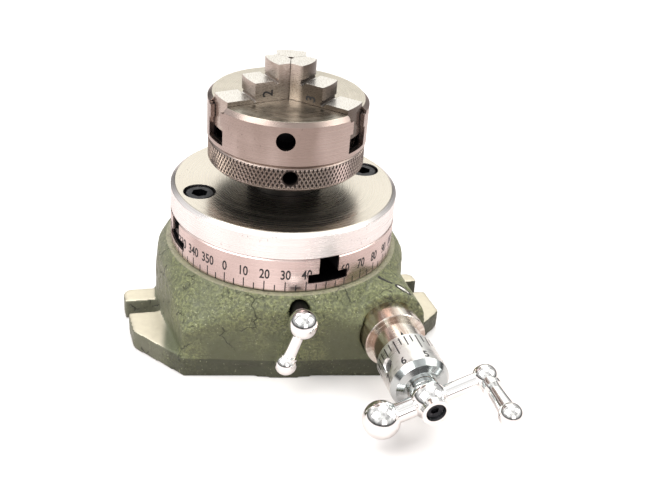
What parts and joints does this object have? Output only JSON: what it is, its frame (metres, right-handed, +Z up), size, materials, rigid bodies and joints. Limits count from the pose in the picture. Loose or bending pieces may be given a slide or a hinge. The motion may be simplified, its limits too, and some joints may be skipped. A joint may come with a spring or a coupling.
{
  "type": "rotary table",
  "caption": "Small worm-driven rotary table with an olive cast base, slotted lugs, a graduated T-slot table, a ball crank with dial, a lock lever and a self-centring chuck on a backplate.",
  "frame": {"origin": "the table's axis of rotation, at the underside of the base casting", "axes": "+Z up along the table axis, -Y to the front with the lock lever, the clamping lugs along X, the worm and crank at the front right"},
  "size_m": [0.1246, 0.1442, 0.0994],
  "materials": {
    "casting_paint": "rough-cast olive-green paint, semi-matt",
    "table_steel": "turned and satin ground, engraved scale filled black",
    "plate_steel": "turned face, bright rolled edge with scratches",
    "chuck_steel": "ground, fine turning marks",
    "jaw_steel": "ground, sharp edges",
    "ring_steel": "diamond knurled",
    "turned_steel": "fine turned",
    "dial_chrome": "satin chrome, black graduations",
    "bright_chrome": "mirror polished",
    "black_screw": "black oxide",
    "dark_steel": "as machined, oiled",
    "bronze": "machined bronze"
  },
  "bodies": {
    "base": {"base_casting": "casting_paint", "spindle_bush": "bronze", "worm_sleeve": "turned_steel", "worm_thrust_washer": "bronze", "sleeve_set_screw": "dark_steel", "lock_pad": "bronze"},
    "table": {"rotary_table": "table_steel", "spindle": "turned_steel", "spindle_washer": "dark_steel", "spindle_nut": "dark_steel", "worm_wheel": "bronze", "wheel_screws": "black_screw", "backplate": "plate_steel", "backplate_screws": "black_screw", "t_nuts": "dark_steel", "chuck_body": "chuck_steel", "chuck_cover": "dark_steel", "cover_screws": "black_screw"},
    "worm": {"worm_shaft": "turned_steel", "crank_arm": "bright_chrome", "crank_pin": "black_screw", "crank_screw": "black_screw", "handle_pin": "turned_steel"},
    "dial": {"graduated_dial": "dial_chrome", "dial_set_screw": "dark_steel"},
    "handle": {"crank_handle": "bright_chrome"},
    "lock": {"lock_screw": "bright_chrome", "lock_lever": "bright_chrome"},
    "scroll": {"scroll_ring": "ring_steel"},
    "jaw_1": {"jaw_1": "jaw_steel"},
    "jaw_2": {"jaw_2": "jaw_steel"},
    "jaw_3": {"jaw_3": "jaw_steel"}
  },
  "joints": [
    {"name": "table_spin", "type": "hinge", "parent": "base", "child": "table", "pos_m": [0, 0, 0.033], "axis": [0, 0, 1], "continuous": true},
    {"name": "worm_spin", "type": "hinge", "parent": "base", "child": "worm", "pos_m": [0.02807, 0.00495, 0.0175], "axis": [0.1736, -0.9848, 0], "continuous": true},
    {"name": "dial_spin", "type": "hinge", "parent": "worm", "child": "dial", "pos_m": [0.04022, -0.06399, 0.0175], "axis": [0.1736, -0.9848, 0], "continuous": true},
    {"name": "handle_spin", "type": "hinge", "parent": "worm", "child": "handle", "pos_m": [0.05997, -0.0735, 0.02415], "axis": [0.1736, -0.9848, 0], "continuous": true},
    {"name": "lock_turn", "type": "hinge", "parent": "base", "child": "lock", "pos_m": [0.00468, -0.05139, 0.028], "axis": [0.0906, -0.9959, 0], "range_deg": [-20, 100]},
    {"name": "scroll_turn", "type": "hinge", "parent": "table", "child": "scroll", "pos_m": [0, 0, 0.067], "axis": [0, 0, 1], "range_deg": [0, 600]},
    {"name": "jaw_1_slide", "type": "slide", "parent": "table", "child": "jaw_1", "axis": [0.0872, 0.9962, 0], "range_m": [0, 0.0051]},
    {"name": "jaw_2_slide", "type": "slide", "parent": "table", "child": "jaw_2", "axis": [-0.9063, -0.4226, 0], "range_m": [0, 0.0051]},
    {"name": "jaw_3_slide", "type": "slide", "parent": "table", "child": "jaw_3", "axis": [0.8192, -0.5736, 0], "range_m": [0, 0.0051]}
  ],
  "couplings": [
    {"joint": "worm_spin", "follows": "table_spin", "ratio": 45},
    {"joint": "jaw_1_slide", "follows": "scroll_turn", "m_per_rad": 0.00047746},
    {"joint": "jaw_2_slide", "follows": "scroll_turn", "m_per_rad": 0.00047746},
    {"joint": "jaw_3_slide", "follows": "scroll_turn", "m_per_rad": 0.00047746}
  ]
}
